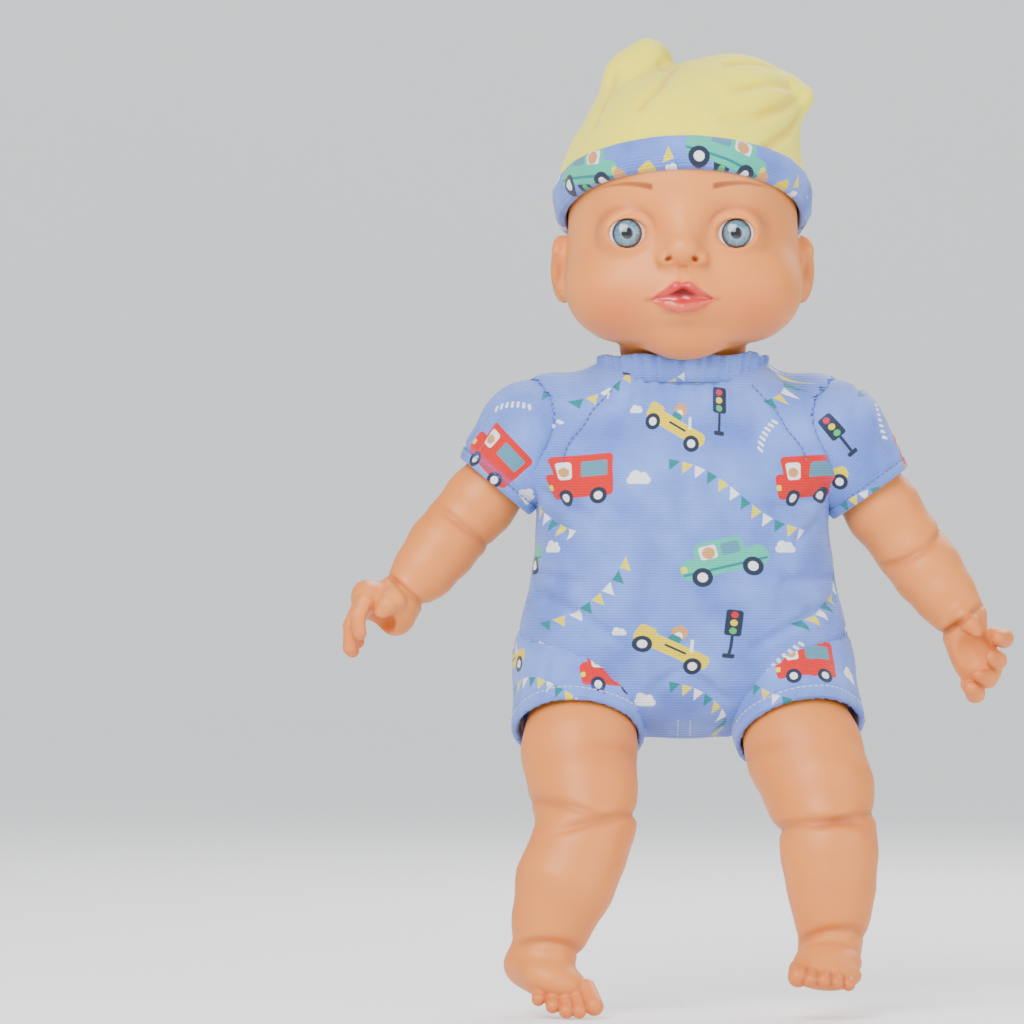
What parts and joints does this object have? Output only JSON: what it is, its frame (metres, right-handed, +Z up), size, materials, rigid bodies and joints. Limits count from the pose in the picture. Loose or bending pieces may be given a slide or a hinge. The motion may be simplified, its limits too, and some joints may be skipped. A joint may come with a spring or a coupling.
{
  "type": "interactive baby doll",
  "caption": "Soft-bodied baby doll with vinyl head, arms and legs, printed knit romper, knit hat and a press-to-talk sound module in the tummy.",
  "frame": {"origin": "back of the waist, on the romper's surface, where a doll stand's saddle or a display tie holds the doll upright", "axes": "+Z up through the head, -Y to the doll's front (the way it faces), +X to the doll's left"},
  "size_m": [0.2423, 0.1243, 0.3477],
  "materials": {
    "vinyl_skin": "soft matte vinyl, sprayed blush",
    "eye_white": "glossy white",
    "eye_iris": "printed blue iris, black pupil",
    "eye_dome": "clear polished dome",
    "hat_knit": "soft lemon knit",
    "band_knit": "blue printed knit, folded",
    "romper_knit": "blue printed rib knit",
    "lining_cloth": "plain woven body cloth",
    "fill_fibre": "polyester fibre fill",
    "tie_nylon": "moulded nylon tie",
    "closure_tape": "hook-and-loop tape",
    "case_plastic": "moulded white ABS",
    "button_plastic": "red moulded cap",
    "knob_plastic": "black moulded knob",
    "board_green": "solder-masked board",
    "chip_resin": "black resin blob",
    "speaker_metal": "pressed steel frame",
    "foam_black": "open-cell foam ring",
    "cell_steel": "nickel-plated can",
    "screw_steel": "zinc-plated"
  },
  "bodies": {
    "torso": {"romper_body": "romper_knit", "romper_collar": "romper_knit", "torso_cover": "lining_cloth", "torso_stuffing": "fill_fibre", "loop_strip": "closure_tape", "hook_strip": "closure_tape", "module_front_case": "case_plastic", "module_rear_case": "case_plastic", "battery_door": "case_plastic", "battery_door_screw": "screw_steel", "case_screw_1": "screw_steel", "case_screw_2": "screw_steel", "circuit_board": "board_green", "sound_chip": "chip_resin", "tact_switch": "knob_plastic", "speaker": "speaker_metal", "speaker_foam": "foam_black", "battery_cell_1": "cell_steel", "battery_cell_2": "cell_steel", "battery_cell_3": "cell_steel", "battery_contacts": "cell_steel"},
    "neck": {"neck_cloth": "lining_cloth", "neck_tie": "tie_nylon"},
    "head": {"head_shell": "vinyl_skin", "right_eye_white": "eye_white", "right_eye_iris": "eye_iris", "right_eye_dome": "eye_dome", "left_eye_white": "eye_white", "left_eye_iris": "eye_iris", "left_eye_dome": "eye_dome"},
    "hat": {"hat_crown": "hat_knit", "hat_band": "band_knit"},
    "button": {"press_button": "button_plastic"},
    "switch": {"switch_knob": "knob_plastic"},
    "right_shoulder": {"right_shoulder_stuffing": "fill_fibre"},
    "right_sleeve_end": {"right_arm_stub": "lining_cloth", "right_arm_tie": "tie_nylon", "right_sleeve": "romper_knit"},
    "right_arm": {"right_arm_shell": "vinyl_skin"},
    "right_hip": {"right_hip_stuffing": "fill_fibre"},
    "right_shorts_end": {"right_leg_stub": "lining_cloth", "right_leg_tie": "tie_nylon", "right_shorts_leg": "romper_knit"},
    "right_leg": {"right_leg_shell": "vinyl_skin"},
    "left_shoulder": {"left_shoulder_stuffing": "fill_fibre"},
    "left_sleeve_end": {"left_arm_stub": "lining_cloth", "left_arm_tie": "tie_nylon", "left_sleeve": "romper_knit"},
    "left_arm": {"left_arm_shell": "vinyl_skin"},
    "left_hip": {"left_hip_stuffing": "fill_fibre"},
    "left_shorts_end": {"left_leg_stub": "lining_cloth", "left_leg_tie": "tie_nylon", "left_shorts_leg": "romper_knit"},
    "left_leg": {"left_leg_shell": "vinyl_skin"}
  },
  "joints": [
    {"name": "head_nod", "type": "hinge", "parent": "torso", "child": "neck", "pos_m": [0, -0.036, 0.078], "axis": [1, 0, 0], "range_deg": [-14, 9]},
    {"name": "head_turn", "type": "hinge", "parent": "neck", "child": "head", "pos_m": [0, -0.036, 0.088], "axis": [0, 0, 1], "range_deg": [-70, 70]},
    {"name": "hat_lift", "type": "slide", "parent": "head", "child": "hat", "axis": [0, 0.3584, 0.9336], "range_m": [0, 0.06]},
    {"name": "button_press", "type": "slide", "parent": "torso", "child": "button", "axis": [0, 1, 0], "range_m": [0, 0.0015], "stiffness_N_per_m": 900},
    {"name": "switch_slide", "type": "slide", "parent": "torso", "child": "switch", "axis": [1, 0, 0], "range_m": [0, 0.0032]},
    {"name": "right_arm_swing", "type": "hinge", "parent": "torso", "child": "right_shoulder", "pos_m": [-0.054, -0.036, 0.057], "axis": [-1, 0, 0], "range_deg": [-35, 85]},
    {"name": "right_arm_spread", "type": "hinge", "parent": "right_shoulder", "child": "right_sleeve_end", "pos_m": [-0.054, -0.036, 0.057], "axis": [0, 1, 0], "range_deg": [-10, 42]},
    {"name": "right_arm_twist", "type": "hinge", "parent": "right_sleeve_end", "child": "right_arm", "pos_m": [-0.054, -0.036, 0.057], "axis": [0.6428, 0, 0.766], "range_deg": [-60, 60]},
    {"name": "right_leg_swing", "type": "hinge", "parent": "torso", "child": "right_hip", "pos_m": [-0.036, -0.036, -0.025], "axis": [-1, 0, 0], "range_deg": [-30, 50]},
    {"name": "right_leg_spread", "type": "hinge", "parent": "right_hip", "child": "right_shorts_end", "pos_m": [-0.036, -0.036, -0.025], "axis": [0, 0.8192, -0.5736], "range_deg": [-4, 22]},
    {"name": "right_leg_twist", "type": "hinge", "parent": "right_shorts_end", "child": "right_leg", "pos_m": [-0.036, -0.036, -0.025], "axis": [0, 0.5736, 0.8192], "range_deg": [-30, 30]},
    {"name": "left_arm_swing", "type": "hinge", "parent": "torso", "child": "left_shoulder", "pos_m": [0.054, -0.036, 0.057], "axis": [-1, 0, 0], "range_deg": [-35, 85]},
    {"name": "left_arm_spread", "type": "hinge", "parent": "left_shoulder", "child": "left_sleeve_end", "pos_m": [0.054, -0.036, 0.057], "axis": [0, -1, 0], "range_deg": [-6, 42]},
    {"name": "left_arm_twist", "type": "hinge", "parent": "left_sleeve_end", "child": "left_arm", "pos_m": [0.054, -0.036, 0.057], "axis": [0.5807, 0, -0.8141], "range_deg": [-60, 60]},
    {"name": "left_leg_swing", "type": "hinge", "parent": "torso", "child": "left_hip", "pos_m": [0.036, -0.036, -0.025], "axis": [-1, 0, 0], "range_deg": [-30, 50]},
    {"name": "left_leg_spread", "type": "hinge", "parent": "left_hip", "child": "left_shorts_end", "pos_m": [0.036, -0.036, -0.025], "axis": [0, -0.8192, 0.5736], "range_deg": [-4, 22]},
    {"name": "left_leg_twist", "type": "hinge", "parent": "left_shorts_end", "child": "left_leg", "pos_m": [0.036, -0.036, -0.025], "axis": [0, -0.5736, -0.8192], "range_deg": [-30, 30]}
  ]
}
